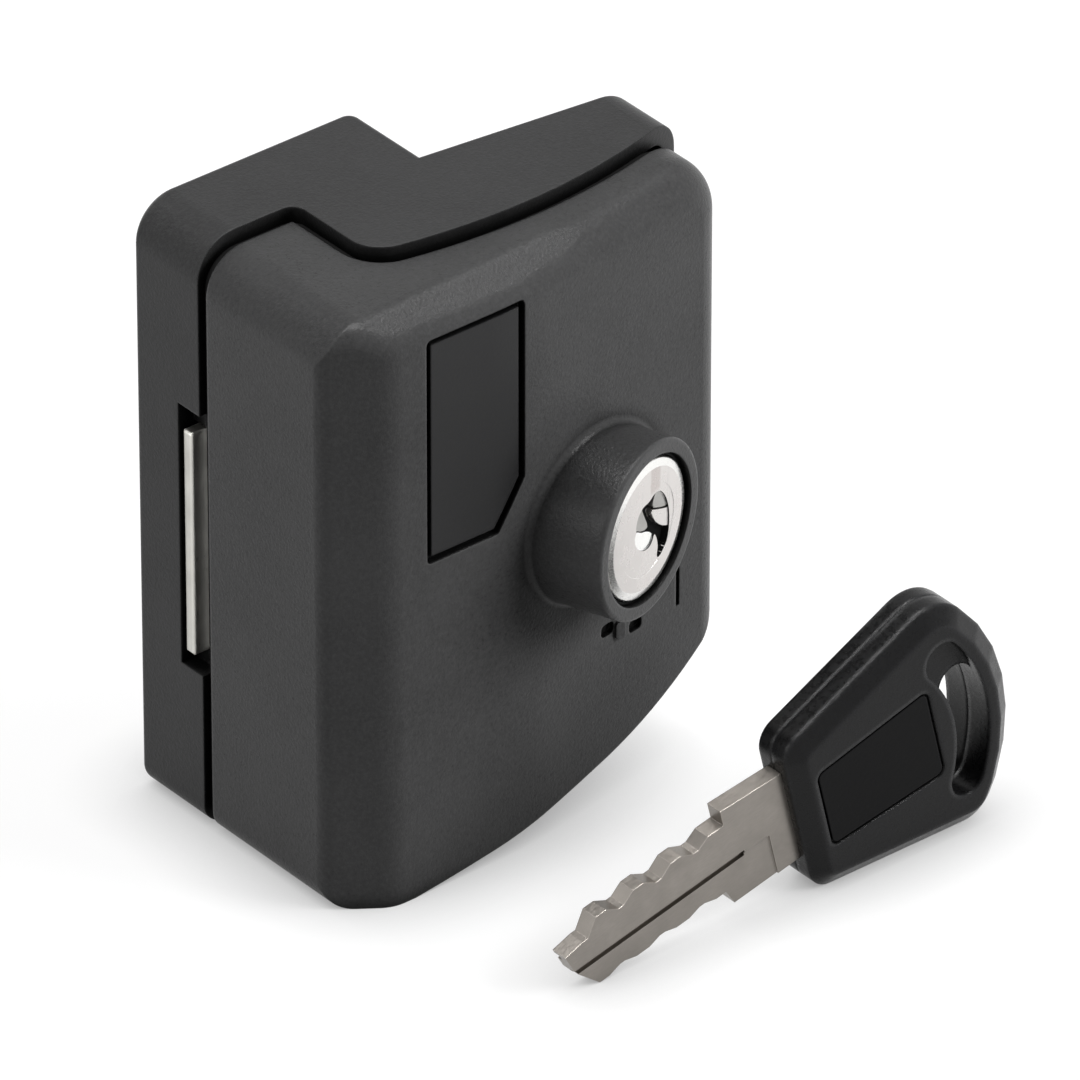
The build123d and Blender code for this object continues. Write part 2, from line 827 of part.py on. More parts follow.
def bolt_carrier():
    right = bolt_recess + bolt_length
    foot_front = bolt_front + carrier_thickness
    low, high = bolt_z - carrier_foot_height / 2, bolt_z + carrier_foot_height / 2
    carrier = block(foot_left, right, bolt_front, foot_front, low, high)
    slot_x, width, low, high = arm_slot()
    arm_low, arm_high = low - arm_margin, high + arm_margin
    arm_right = slot_x + width / 2 + arm_margin
    arm_end = arm_depth + carrier_thickness
    carrier += block(right - carrier_web, arm_right, arm_depth, arm_end, arm_low, arm_high)
    carrier += block(right - carrier_web, right, bolt_front, arm_end, arm_low, arm_high)
    carrier -= block(slot_x - width / 2, slot_x + width / 2, 0, front_depth, low, high)
    for z in rivet_heights():
        carrier -= bar(rivet_radius, right - carrier_foot_width / 2, z, 0, foot_front)
    return carrier


def bolt_rivets():
    rivets = []
    front = bolt_front + carrier_thickness
    x = bolt_recess + bolt_length - carrier_foot_width / 2
    for z in rivet_heights():
        rivet = bar(rivet_radius, x, z, bolt_depth, front)
        rivets.append(rivet + bar(rivet_head, x, z, front, front + rivet_head_length))
    return rivets


def bolt_keeper():
    low = rail_heights()[0] - rail_height / 2
    high = rail_heights()[1] + rail_height / 2
    start = bolt_front + bolt_play
    left = wall + keeper_wall_gap
    plate = block(left, wall + keeper_width, start, start + keeper_thickness, low, high)
    for z in rail_heights():
        plate -= bar(keeper_screw_radius, wall + keeper_width / 2, z, 0, front_depth)
    return plate


def keeper_screws():
    screws = []
    start = bolt_front + bolt_play + keeper_thickness
    end = start + keeper_screw_head_length
    x = wall + keeper_width / 2
    for z in rail_heights():
        screw = bar(keeper_screw_radius, x, z, start - keeper_screw_length, start)
        screw += bar(keeper_screw_head, x, z, start, end)
        reach, half = 2 * keeper_screw_head, drive_width / 2
        screws.append(screw - block(x - reach, x + reach, end - drive_depth, end + 1, z - half, z + half))
    return screws


def case_screws():
    screws = []
    for x, z, back, joint in screw_spots():
        head_end = back + counterbore_depth
        head = bar(screw_head, x, z, head_end - screw_head_length, head_end)
        shank = bar(screw_shank, x, z, head_end, joint + screw_bite)
        start = head_end - screw_head_length
        end = start + screw_cross_depth
        long, short = screw_cross / 2, screw_cross_width / 2
        drive = block(x - long, x + long, start - 1, end, z - short, z + short)
        drive += block(x - short, x + short, start - 1, end, z - long, z + long)
        screws.append(head + shank - drive)
    return screws


def threaded_inserts():
    inserts = []
    for z in insert_heights():
        insert = bar(insert_radius, insert_x, z, 0, insert_length)
        inserts.append(insert - bar(insert_thread, insert_x, z, -1, insert_length + 1))
    return inserts


def blade_outline():
    """The blade from the side: nose at the left, shoulders where it enters the head."""
    low = blade_offset - blade_width / 2
    high = blade_offset + blade_width / 2
    nose = -blade_length
    stop = nose + blade_cut_length
    shoulder = high + shoulder_rise
    heel = -blade_heel_length
    half = cut_flat / 2
    points = [(nose, blade_offset + blade_nose_rise)]
    points += [(nose + blade_nose_slope, blade_offset - blade_groove_offset), (nose + blade_nose_run, low)]
    for index in reversed(range(low_cut_count)):
        middle = stop - low_cut_first - index * low_cut_pitch
        points += [(middle - half - cut_run, low), (middle - half, low + low_cut_depth)]
        points += [(middle + half, low + low_cut_depth), (middle + half + cut_run, low)]
    points += [(heel, low), (heel + blade_heel_slope, low - blade_heel), (0, low - blade_heel)]
    points += [(0, low), (tang_length, low), (tang_length, high), (0, high)]
    points += [(0, shoulder - shoulder_fall), (stop, shoulder), (stop, high)]
    for index, depth in enumerate(cut_depths):
        middle = stop - cut_first - index * cut_pitch
        points += [(middle + half + cut_run, high), (middle + half, high - depth)]
        points += [(middle - half, high - depth)]
        if index < len(cut_depths) - 1:
            points += [(middle - half - cut_run, high)]
    return make_face(Polyline(*points, points[0]))


def key_plane():
    slope = math.radians(key_tilt)
    return Plane(
        origin=(key_x, -key_depth, 0),
        x_dir=(math.cos(slope), 0, math.sin(slope)),
        z_dir=(0, -1, 0),
    )


def key_blade():
    half = blade_thickness / 2
    blade = extrude(Plane.XY.offset(-half) * blade_outline(), blade_thickness)
    groove_end = blade_cut_length - blade_length + blade_groove_run
    groove = Rectangle(2 * blade_length, blade_groove, align=(Align.MAX, Align.CENTER))
    for direction in (1, -1):
        y = blade_offset - direction * blade_groove_offset
        low = half - blade_groove_sink if direction > 0 else -half - 1
        blade -= extrude(Pos(groove_end, y, low) * groove, blade_groove_sink + 1)
    step = Rectangle(2 * blade_length, blade_length, align=(Align.MAX, Align.MAX))
    step_top = blade_offset - blade_groove_offset
    blade -= extrude(Pos(-blade_step_end, step_top, half - blade_step) * step, 1)
    for x in key_pin_places():
        blade -= Pos(x, blade_offset) * Cylinder(key_pin_radius, 2 * blade_thickness)
    return blade


def key_pin_places():
    return [key_pin_margin, key_pin_margin + key_pin_spacing]


def head_outline():
    """The head from the side, with short straight facets round its far end."""
    high = head_root + head_shoulder * math.tan(math.radians(head_taper))
    low = head_low_root + head_shoulder * math.tan(math.radians(head_low_taper))
    top, foot = (head_shoulder, high), (head_shoulder, -low)
    curve = ThreePointArc(top, (head_length, 0), foot)
    facets = [curve @ (index / head_facets) for index in range(head_facets + 1)]
    sides = Polyline(foot, (0, -head_low_root), (0, head_root), top)
    face = make_face(Polyline(*facets) + sides)
    face = fillet(near(face, 0, head_root), head_root_radius)
    face = fillet(near(face, 0, -head_low_root), head_root_radius)
    face = fillet(near(face, *top), head_end_radius)
    return fillet(near(face, *foot), head_low_radius)


def ring_slot(high_angle):
    """The curved slot for a key ring, from its lower end up to an angle above the middle."""
    centre = slot_reach - slot_radius
    path = CenterArc((centre, 0), slot_radius, -slot_low_angle, slot_low_angle + high_angle)
    return SlotArc(path, slot_width)


def key_panel_outline(shell=0.0):
    start, end = key_panel_start, key_panel_start + key_panel_length
    half = key_panel_height / 2
    wide = half + key_panel_widen / 2
    middle = key_panel_offset
    corners = [(start, middle - half), (end, middle - wide), (end, middle + wide)]
    corners += [(start, middle + half)]
    face = make_face(Polyline(*corners, corners[0]))
    return inset(fillet(face.vertices(), key_panel_corner), shell)


def key_head_half():
    """One moulded half of the head, from the parting face out to its raised face."""
    half = head_thickness / 2
    body = extrude(head_outline(), half)
    raised = body.faces().sort_by(Axis.Z)[-1]
    body = chamfer(raised.edges(), head_bevel, half - head_side, reference=raised)
    body -= extrude(ring_slot(slot_through_angle), half + 1)
    reach = tang_length + tang_play
    socket = Pos(0, blade_offset) * Rectangle(2 * reach, blade_width + 2 * tang_play)
    return body - extrude(socket, blade_thickness / 2)


def key_pins():
    pins = []
    reach = blade_thickness / 2 + key_pin_grip
    for x in key_pin_places():
        pins.append(Pos(x, blade_offset) * Cylinder(key_pin_radius, 2 * reach))
    return pins


def key_head_front():
    """The front half, whose ring slot runs on upwards as a blind groove."""
    half = head_thickness / 2
    body = key_head_half()
    body -= extrude(Plane.XY.offset(slot_floor) * ring_slot(slot_high_angle), head_thickness)
    body -= extrude(Plane.XY.offset(half - key_panel_sink) * key_panel_outline(), head_thickness)
    return body - Compound(key_pins())


def key_head_rear():
    return key_head_half().mirror(Plane.XY) - Compound(key_pins())


def key_panel():
    half = head_thickness / 2
    plate = Plane.XY.offset(half - key_panel_sink) * key_panel_outline(key_panel_groove)
    return extrude(plate, key_panel_sink - key_panel_set_back)


def write(name, shapes, place=None):
    """Place the solids of one node and write them to its file."""
    group = shapes if isinstance(shapes, list) else [shapes]
    solids = []
    for shape in group:
        placed = place * shape if place else shape
        solids += (Pos(-foot_x, foot_depth, 0) * placed).solids()
    export_step(Compound(children=solids) if len(solids) > 1 else solids[0], f"parts/{name}.step")
    print(name, len(solids))


def lowest(shape, plane):
    return (plane * shape).bounding_box().min.Z


def main():
    write("rear_case", rear_case())
    write("front_cover", front_cover())
    write("case_gasket", gasket())
    write("badge_panel", badge_panel())
    write("case_screws", case_screws())
    write("threaded_inserts", threaded_inserts())
    write("bolt_keeper", bolt_keeper())
    write("keeper_screws", keeper_screws())
    write("bolt_plate", bolt_plate())
    write("bolt_carrier", bolt_carrier())
    write("bolt_rivets", bolt_rivets())
    in_lock = {
        "cylinder_body": cylinder_body(),
        "cylinder_clip": cylinder_clip(),
        "cylinder_dowel": dowel_form(),
        "dust_ring": dust_ring(),
        "plug": plug(),
        "plug_face": face_cap(),
        "wafer_set": wafer_set(),
        "wafer_springs": wafer_springs(),
        "shutter_pin": shutter_pin_form(),
        "shutter_flap": shutter(),
        "crank": crank(),
        "drive_pin": drive_pin(),
        "crank_screw": crank_screw(),
    }
    for name, shapes in in_lock.items():
        write(name, shapes, LOCK)
    key = {
        "key_blade": key_blade(),
        "key_head_front": key_head_front(),
        "key_head_rear": key_head_rear(),
        "key_panel": key_panel(),
        "key_pins": key_pins(),
    }
    stand = key_plane()
    drop = min(lowest(key["key_blade"], stand), lowest(key["key_head_front"], stand))
    stand = Plane(stand.origin - Vector(0, 0, drop), x_dir=stand.x_dir, z_dir=stand.z_dir)
    for name, shapes in key.items():
        write(name, shapes, stand)


main()
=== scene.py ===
# %% [markdown]
# # A case lock and its key, dressed for a studio picture
#
# The lock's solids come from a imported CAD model: every shell, screw and spring is already there at its
# real size. This lesson adds what a solid model lacks: moulded grain, brushed metal, worn edges, the
# turned keyway mouth, the light and the camera. All lengths are in metres and +Z is up.

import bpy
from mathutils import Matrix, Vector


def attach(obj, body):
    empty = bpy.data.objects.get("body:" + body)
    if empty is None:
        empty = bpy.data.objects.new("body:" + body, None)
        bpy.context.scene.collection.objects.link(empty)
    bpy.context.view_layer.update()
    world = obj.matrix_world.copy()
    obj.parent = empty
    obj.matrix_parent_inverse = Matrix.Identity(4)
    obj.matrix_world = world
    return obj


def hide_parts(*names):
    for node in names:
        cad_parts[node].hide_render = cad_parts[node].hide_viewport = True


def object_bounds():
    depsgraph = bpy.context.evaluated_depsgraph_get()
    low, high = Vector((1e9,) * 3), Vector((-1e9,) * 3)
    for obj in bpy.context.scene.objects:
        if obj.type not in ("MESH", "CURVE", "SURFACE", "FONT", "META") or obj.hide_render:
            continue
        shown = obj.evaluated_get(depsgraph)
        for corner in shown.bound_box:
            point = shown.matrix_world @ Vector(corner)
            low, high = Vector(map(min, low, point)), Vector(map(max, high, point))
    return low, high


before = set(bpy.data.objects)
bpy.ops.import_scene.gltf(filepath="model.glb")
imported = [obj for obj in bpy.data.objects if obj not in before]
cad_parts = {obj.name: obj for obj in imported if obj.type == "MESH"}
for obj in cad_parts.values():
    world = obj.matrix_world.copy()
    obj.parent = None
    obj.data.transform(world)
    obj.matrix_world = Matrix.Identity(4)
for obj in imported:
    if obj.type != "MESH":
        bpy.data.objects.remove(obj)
cad_low, cad_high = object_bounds()
print("solids:", len(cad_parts), "box:", tuple(round(v, 4) for v in cad_high - cad_low))

# %% [markdown]
# ## Tools and units
#
# The lesson needs Blender's own modules, its mesh kit for the turned disc, and vectors. The disc is drawn
# in millimetres, as such a part is measured, so one constant turns them into metres.

# %% Tools used all through the lesson
import math

import bmesh
import bpy
from mathutils import Matrix, Vector

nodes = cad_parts
MM = 0.001
print("nodes:", ", ".join(sorted(nodes)))

# %% [markdown]
# ## A small kit for surfaces
#
# Each finish is a node tree. Writing every link by hand hides what the finish does, so one small class
# keeps the tree and offers the few steps that the finishes share: a noise, a ramp between two values and
# a bump. The noises read the object's own coordinates, so the grain stays on the piece when it moves.

# %% The surface kit
class Surface:
    """A material under construction, with its main shader and a coordinate source."""

    def __init__(self, name, roughness=0.5, metallic=0.0, specular=0.5):
        self.material = bpy.data.materials.new(name)
        self.material.use_nodes = True
        self.tree = self.material.node_tree
        self.shader = self.tree.nodes["Principled BSDF"]
        self.shader.inputs["Metallic"].default_value = metallic
        self.shader.inputs["Specular IOR Level"].default_value = specular
        self.shader.inputs["Roughness"].default_value = roughness
        self.place = self.tree.nodes.new("ShaderNodeTexCoord").outputs["Object"]

    def link(self, source, target):
        self.tree.links.new(source, target)

    def stretched(self, x, y, z, tilt=0.0):
        """The coordinates scaled along each axis, for grain that runs one way, after a tilt if given."""
        start = self.place
        if tilt:
            rotate = self.tree.nodes.new("ShaderNodeVectorRotate")
            rotate.rotation_type = "Y_AXIS"
            rotate.inputs["Angle"].default_value = math.radians(tilt)
            self.link(start, rotate.inputs["Vector"])
            start = rotate.outputs["Vector"]
        mapping = self.tree.nodes.new("ShaderNodeMapping")
        mapping.inputs["Scale"].default_value = (x, y, z)
        self.link(start, mapping.inputs["Vector"])
        return mapping.outputs["Vector"]

    def along(self, axis):
        """The place along one of the object's own axes."""
        node = self.tree.nodes.new("ShaderNodeSeparateXYZ")
        self.link(self.place, node.inputs["Vector"])
        return node.outputs[axis]

    def noise(self, size, detail=2.0, vector=None, sharp=0.5):
        """A cloudy pattern whose blobs are about one size across."""
        node = self.tree.nodes.new("ShaderNodeTexNoise")
        node.inputs["Scale"].default_value = 1.0 / size
        node.inputs["Detail"].default_value = detail
        node.inputs["Roughness"].default_value = sharp
        self.link(vector or self.place, node.inputs["Vector"])
        return node.outputs["Fac"]

    def ramp(self, source, low, high, start=0.3, end=0.7):
        """Turn a pattern into a number that runs from low to high."""
        node = self.tree.nodes.new("ShaderNodeMapRange")
        for key, value in (("From Min", start), ("From Max", end), ("To Min", low), ("To Max", high)):
            node.inputs[key].default_value = value
        self.link(source, node.inputs["Value"])
        return node.outputs["Result"]

    def blend(self, share, first, second):
        """Mix two colours, or a colour and a pattern's colour, by a share from 0 to 1."""
        node = self.tree.nodes.new("ShaderNodeMix")
        node.data_type = "RGBA"
        for socket, value in ((node.inputs["A"], first), (node.inputs["B"], second)):
            if isinstance(value, tuple):
                socket.default_value = (*value, 1.0)
            else:
                self.link(value, socket)
        self.link(share, node.inputs["Factor"])
        return node.outputs["Result"]

    def multiply(self, first, second):
        node = self.tree.nodes.new("ShaderNodeMath")
        node.operation = "MULTIPLY"
        self.link(first, node.inputs[0])
        self.link(second, node.inputs[1])
        return node.outputs["Value"]

    def bump(self, pattern, height, below=None):
        """Raise the surface by a pattern, over an earlier bump or rounded edge if one is given."""
        node = self.tree.nodes.new("ShaderNodeBump")
        node.inputs["Distance"].default_value = height
        self.link(pattern, node.inputs["Height"])
        if below:
            self.link(below, node.inputs["Normal"])
        return node.outputs["Normal"]

    def rounded(self, radius):
        """The normal of the surface with its sharp edges softened."""
        node = self.tree.nodes.new("ShaderNodeBevel")
        node.samples = 6
        node.inputs["Radius"].default_value = radius
        return node.outputs["Normal"]

    def edges(self, radius, start=0.02, end=0.35):
        """A mask that is 1 on sharp edges, where hands and parts rub the surface, and where painted glints
        go on the key's head.
        """
        plain = self.tree.nodes.new("ShaderNodeNewGeometry").outputs["Normal"]
        node = self.tree.nodes.new("ShaderNodeVectorMath")
        node.operation = "DISTANCE"
        self.link(self.rounded(radius), node.inputs[0])
        self.link(plain, node.inputs[1])
        return self.ramp(node.outputs["Value"], 0.0, 1.0, start, end)

    def cavity(self, reach, closed=0.45, open_air=0.8):
        """A mask that is 1 deep in seams and recesses and 0 on open surfaces."""
        node = self.tree.nodes.new("ShaderNodeAmbientOcclusion")
        node.samples = 8
        node.inputs["Distance"].default_value = reach
        return self.ramp(node.outputs["AO"], 1.0, 0.0, closed, open_air)

    def finish(self, colour=None, roughness=None, normal=None):
        """Join the worked-out colour, roughness and normal to the shader."""
        for source, key in ((colour, "Base Color"), (roughness, "Roughness"), (normal, "Normal")):
            if source is not None:
                self.link(source, self.shader.inputs[key])
        return self.material


def share(colour, amount):
    """A colour made darker or lighter by a factor."""
    return tuple(channel * amount for channel in colour)


print("surface kit ready")

# %% [markdown]
# ## Moulded charcoal plastic
#
# The two shells are glass-filled nylon from an eroded mould: a fine even grain, a slightly uneven tone
# from the filler, and edges rubbed a touch lighter. The grain is far too fine to model, so it is a bump
# from a fine noise, and the tone is a slow cloud mixed with tiny specks. An occlusion mask darkens seams
# and recesses as painted shade, and keeps the rubbing to the edges that stand out.

# %% The shell plastic
cloud_size, recess_shade, fleck = 0.012, 0.08, 1.7


def grained_plastic(name, colour, roughness, grain=0.0004, depth=0.00005, specular=0.3, rounding=0.0004,
                    rub_and_glint_tone=2.0, recess=0.005, open_air=0.8):
    """Moulded plastic: its grain's size and depth, how far its edges are rounded, rubbed and given painted
    glints, and the reach of the painted shade in its seams.
    """
    s = Surface(name, roughness, specular=specular)
    clouds = s.noise(cloud_size, 3.0)
    specks = s.noise(grain * 1.3, 4.0, sharp=0.7)
    tone = s.blend(s.ramp(clouds, 0.0, 1.0), share(colour, 0.9), share(colour, 1.1))
    speckled = s.blend(s.ramp(specks, 0.0, 0.5, 0.45, 0.75), tone, share(colour, fleck))
    deep = s.cavity(recess, open_air=open_air)
    edge_rub_and_glint = s.multiply(s.ramp(s.edges(rounding), 0.0, 0.3, 0.0, 1.0), s.ramp(deep, 1.0, 0.0, 0.0, 0.25))
    # The edges lighten by this share: rubbing, and on the key's head mostly painted glints.
    worn = s.blend(edge_rub_and_glint, speckled, share(colour, rub_and_glint_tone))
    # Painted shade: the colour darkens where the occlusion mask finds a seam or recess.
    shaded = s.blend(deep, worn, share(colour, recess_shade))
    rough = s.ramp(specks, roughness - 0.06, roughness + 0.08)
    relief = s.bump(s.noise(grain, 3.0, sharp=0.65), depth, s.rounded(rounding))
    return s.finish(shaded, rough, relief)


shell_plastic = grained_plastic("shell_plastic", (0.054, 0.054, 0.0545), 0.31, depth=0.00007, specular=0.1,
                                recess=0.003, open_air=0.92)
rear_plastic = grained_plastic("rear_plastic", (0.036, 0.036, 0.0365), 0.36, specular=0.11, recess=0.006)
panel_plastic = grained_plastic("panel_plastic", (0.012, 0.012, 0.0125), 0.36, depth=0.000015, specular=0.25,
                                recess=0.001)
ring_plastic = grained_plastic("ring_plastic", (0.004, 0.004, 0.004), 0.5, specular=0.1)
print("plastics:", shell_plastic.name, rear_plastic.name, panel_plastic.name, ring_plastic.name)

# %% [markdown]
# ## Seal rubber
#
# The black line between the shells is a rubber ring deep in the seam. It is nearly without gloss, with a
# fine bloom of dust. The same recipe serves later for painted shade inside the keyway, where only shade
# makes the metal look near-black.

# %% The seal rubber
def dull_rubber(name):
    """A near-black dull surface with a thin dust."""
    s = Surface(name, 0.85, specular=0.15)
    dust = s.noise(0.002, 4.0)
    colour = s.blend(s.ramp(dust, 0.0, 1.0, 0.5, 0.8), (0.004, 0.004, 0.004), (0.009, 0.009, 0.009))
    return s.finish(colour, s.ramp(dust, 0.8, 0.95), s.bump(s.noise(0.0004, 2.0), 0.00002))


seal_rubber = dull_rubber("seal_rubber")
print("rubber:", seal_rubber.name)

# %% [markdown]
# ## Metals
#
# Bright parts are satin, not mirrors: cut or drawn metal carries fine lines along one direction, small
# changes of gloss, and brighter rubbed edges. One recipe makes them all; the stretch of its noise sets
# which way the lines run.

# %% The metal recipe
def satin_metal(name, colour, roughness, lines=(1.0, 1.0, 1.0), line_size=0.00012, depth=0.000004,
                stain=0.8, rounding=0.00015, tilt=0.0):
    """Drawn or cut metal: which way its lines run, how clean it is, and how far edges are rounded."""
    s = Surface(name, roughness, metallic=1.0)
    drawn = s.noise(line_size, 4.0, s.stretched(*lines, tilt), sharp=0.6)
    clouds = s.noise(0.004, 3.0)
    tone = s.blend(s.ramp(clouds, 0.0, 1.0), share(colour, stain), colour)
    lined = s.blend(s.ramp(drawn, 0.0, 0.25), tone, share(colour, 0.72))
    worn = s.blend(s.ramp(s.edges(rounding), 0.0, 0.5, 0.0, 1.0), lined, share(colour, 1.25))
    rough = s.ramp(drawn, roughness - 0.07, roughness + 0.1)
    return s.finish(worn, rough, s.bump(drawn, depth, s.rounded(rounding)))


bolt_metal = satin_metal("bolt_metal", (0.6, 0.59, 0.55), 0.34, (1.0, 1.0, 0.06), rounding=0.0006)
pressed_metal = satin_metal("pressed_metal", (0.5, 0.5, 0.5), 0.4, (0.2, 1.0, 1.0))
cast_metal = satin_metal("cast_metal", (0.52, 0.52, 0.51), 0.48, line_size=0.0004, depth=0.00002)
screw_metal = satin_metal("screw_metal", (0.45, 0.45, 0.46), 0.35, (1.0, 0.1, 1.0))
spring_metal = satin_metal("spring_metal", (0.5, 0.5, 0.52), 0.28, (1.0, 1.0, 0.1))
brass_metal = satin_metal("brass_metal", (0.62, 0.46, 0.2), 0.32, (1.0, 0.1, 1.0))
face_metal = satin_metal("face_metal", (0.74, 0.73, 0.71), 0.3, (1.0, 1.0, 0.3), stain=0.93)
key_metal = satin_metal("key_metal", (0.285, 0.263, 0.239), 0.36, (0.12, 1.0, 1.0), stain=0.85, tilt=13.5)
# A near-white copy of the face metal for the rim's bevel: a painted highlight.
bevel_highlight_metal = satin_metal("bevel_highlight_metal", (0.93, 0.92, 0.9), 0.25, stain=0.97)
# Darker and near-white copies of the disc metal for the wards: painted shade and a painted highlight.
shaded_ward_metal = satin_metal("shaded_ward_metal", (0.5, 0.49, 0.47), 0.35, stain=0.8)
lit_ward_metal = satin_metal("lit_ward_metal", (0.97, 0.97, 0.95), 0.2, stain=0.98)
# Near-black metal for the plug and shutter behind the face: painted shade, since only shade darkens them.
shaded_inner_metal = satin_metal("shaded_inner_metal", (0.003, 0.0028, 0.0026), 0.6, line_size=0.0004, depth=0.00002)
print("metals:", sum(material.name.endswith("_metal") for material in bpy.data.materials))

# %% [markdown]
# ## Key plastic
#
# The key's head is a different plastic from the case: nearly black, smoother and more glossy, with only a
# faint grain, so its facets catch clear highlights. The small panel let into it is duller and darker. Both
# come from the recipe for moulded plastic, with their edges lightened far more than the case's: painted
# glints along the facets, on top of some rubbing.

# %% The key plastic
key_plastic = grained_plastic("key_plastic", (0.0045, 0.0045, 0.0048), 0.28, grain=0.0006, depth=0.00002,
                              specular=0.17, rounding=0.0009, rub_and_glint_tone=10.0, recess=0.0025)
key_panel_plastic = grained_plastic("key_panel_plastic", (0.0035, 0.0035, 0.0037), 0.42, grain=0.0005,
                                    depth=0.00002, specular=0.07, rounding=0.0003, rub_and_glint_tone=6.0, recess=0.0015)
print("key plastics:", key_plastic.name, key_panel_plastic.name)

# %% [markdown]
# ## Dressing the solids
#
# Every solid keeps its mesh and takes its finish through its material slot. A table from finish to pieces
# is easier to check against the real lock than one line for each piece.

# %% Dress every solid in its finish
finishes = {
    shell_plastic: ["front_cover"],
    rear_plastic: ["rear_case"],
    panel_plastic: ["badge_panel"],
    seal_rubber: ["case_gasket"],
    ring_plastic: ["dust_ring"],
    bolt_metal: ["bolt_plate"],
    pressed_metal: ["bolt_keeper", "bolt_carrier", "crank"],
    cast_metal: ["cylinder_body"],
    # The plug and shutter take the near-black metal: painted shade.
    shaded_inner_metal: ["plug", "shutter_flap"],
    screw_metal: ["case_screws", "keeper_screws", "bolt_rivets", "crank_screw"],
    spring_metal: ["cylinder_clip", "cylinder_dowel", "wafer_springs", "shutter_pin", "drive_pin",
                   "key_pins"],
    brass_metal: ["threaded_inserts", "wafer_set"],
    face_metal: ["plug_face"],
    key_metal: ["key_blade"],
    key_plastic: ["key_head_front", "key_head_rear"],
    key_panel_plastic: ["key_panel"],
}
for material, names in finishes.items():
    for name in names:
        slots = nodes[name].data.materials
        slots.clear()
        slots.append(material)
dressed = sum(len(names) for names in finishes.values())
print("dressed", dressed, "of", len(nodes), "solids")

# %% [markdown]
# ## The cylinder's face
#
# The bright disc in the boss is the front of the plug. On the real lock it is a turned disc with a wide
# bevel round its rim, a middle a hair lower, and a curved opening in which wards stand at different
# depths. The solid model keeps a plain keyway, so the disc is built again here: the rim is turned from a
# profile, the middle is a flat outline with the opening left out of it, and each ward is a small plate.
# All of it is drawn flat, with the lock's axis pointing out of the paper, and then set into the boss.

# %% Tools for parts drawn on the lock's axis
lock_turn = math.radians(19.7)
rim_centre = Vector((33.496, -38.796, 41.3))
outward = Vector((math.sin(lock_turn), -math.cos(lock_turn), 0.0))
sideways = Vector((math.cos(lock_turn), math.sin(lock_turn), 0.0))
turned_to_lock = Matrix((sideways, Vector((0.0, 0.0, 1.0)), outward)).transposed().to_4x4()
lock_place = Matrix.Translation(rim_centre * MM) @ turned_to_lock


def smooth_loop(points, rounds=2):
    """Cut the corners of a closed outline again and again until it looks curved."""
    for _ in range(rounds):
        cut = []
        for (x0, y0), (x1, y1) in zip(points, points[1:] + points[:1]):
            cut.append((0.75 * x0 + 0.25 * x1, 0.75 * y0 + 0.25 * y1))
            cut.append((0.25 * x0 + 0.75 * x1, 0.25 * y0 + 0.75 * y1))
        points = cut
    return points


def ring_of(radius, steps=96):
    """The points of a circle."""
    turns = [2 * math.pi * step / steps for step in range(steps)]
    return [(radius * math.cos(turn), radius * math.sin(turn)) for turn in turns]


def plate(outlines, low, high, edge=0.04):
    """A flat plate from closed outlines, of which the inner ones are openings, with a small bevel."""
    curve = bpy.data.curves.new("outline", "CURVE")
    curve.dimensions = "2D"
    curve.fill_mode = "BOTH"
    curve.extrude = ((high - low) / 2 - edge) * MM
    curve.bevel_depth = edge * MM
    curve.offset = -edge * MM
    for outline in outlines:
        spline = curve.splines.new("POLY")
        spline.points.add(len(outline) - 1)
        spline.use_cyclic_u = True
        for point, (x, y) in zip(spline.points, outline):
            point.co = (x * MM, y * MM, 0.0, 1.0)
    holder = bpy.data.objects.new("outline", curve)
    mesh = bpy.data.meshes.new_from_object(holder)
    bpy.data.objects.remove(holder)
    mesh.transform(Matrix.Translation((0.0, 0.0, (low + high) / 2 * MM)))
    return mesh


def turned(profile, steps=144):
    """A ring whose closed profile, given as radius and height, runs once round the axis."""
    maker = bmesh.new()
    rings = []
    for step in range(steps):
        turn = 2 * math.pi * step / steps
        side = Vector((math.cos(turn), math.sin(turn), 0.0))
        rings.append([maker.verts.new((side * radius + Vector((0.0, 0.0, height))) * MM)
                      for radius, height in profile])
    for here, there in zip(rings, rings[1:] + rings[:1]):
        for corner in range(len(profile)):
            after = (corner + 1) % len(profile)
            maker.faces.new((here[corner], there[corner], there[after], here[after]))
    bmesh.ops.recalc_face_normals(maker, faces=maker.faces[:])
    mesh = bpy.data.meshes.new("turned")
    maker.to_mesh(mesh)
    maker.free()
    return mesh


def one_mesh(name, meshes):
    """Join meshes into one, with the materials of each kept."""
    maker = bmesh.new()
    whole = bpy.data.meshes.new(name)
    for mesh in meshes:
        first = len(whole.materials)
        for material in mesh.materials:
            whole.materials.append(material)
        known = len(maker.faces)
        maker.from_mesh(mesh)
        maker.faces.ensure_lookup_table()
        for face in maker.faces[known:]:
            face.material_index += first
    maker.to_mesh(whole)
    maker.free()
    return whole


def paint(mesh, plain, other=None, choose=None):
    """Give a mesh its finish, and a second one to the faces that a test picks out."""
    mesh.materials.append(plain)
    if other:
        mesh.materials.append(other)
        for face in mesh.polygons:
            face.material_index = int(choose(face))
    return mesh


print("axis:", tuple(round(value, 3) for value in outward))

# %% [markdown]
# The face metal has one more mark: a shallow milled band from the rim down to the opening, seen as a
# slightly darker, warmer stripe. It is a tone in the finish, placed by the disc's own coordinates.

# %% The face's own finish
band_left, band_right, band_foot = (0.0006, 0.0009), (0.0026, 0.0031), (0.0040, 0.0046)


